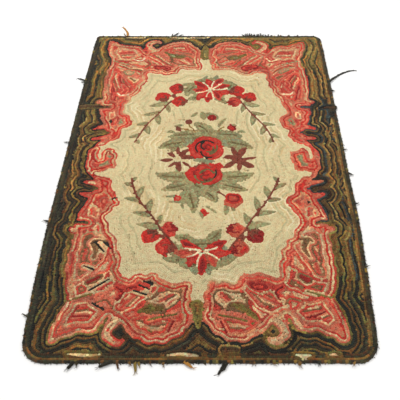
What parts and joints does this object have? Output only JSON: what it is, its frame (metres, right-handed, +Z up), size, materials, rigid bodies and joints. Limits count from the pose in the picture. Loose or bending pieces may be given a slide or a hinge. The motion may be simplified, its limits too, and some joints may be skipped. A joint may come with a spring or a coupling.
{
  "type": "hooked rug",
  "caption": "Flat rectangular rag rug hooked with leafy scrolls and flower sprays on a cream ground, with a dark striped border, bound edges and loose rag ends. Lies on a floor.",
  "frame": {"origin": "the middle of the underside of the mat, on the floor; the loose rag ends make the whole box a little lopsided about it", "axes": "+Z up out of the pile, +Y along the length from the near end to the far end, +X across the width to the right"},
  "size_m": [1.0838, 1.5485, 0.0111],
  "materials": {
    "hooked_pile": "matte wool and cotton rag loops, cream, sage, red, salmon and dark brown",
    "binding_cloth": "matte, dark brown-black worn cloth"
  },
  "bodies": {
    "root": {"rug_mat": "hooked_pile", "binding_left": "binding_cloth", "binding_right": "binding_cloth", "binding_far": "binding_cloth", "binding_near": "binding_cloth"}
  },
  "joints": []
}
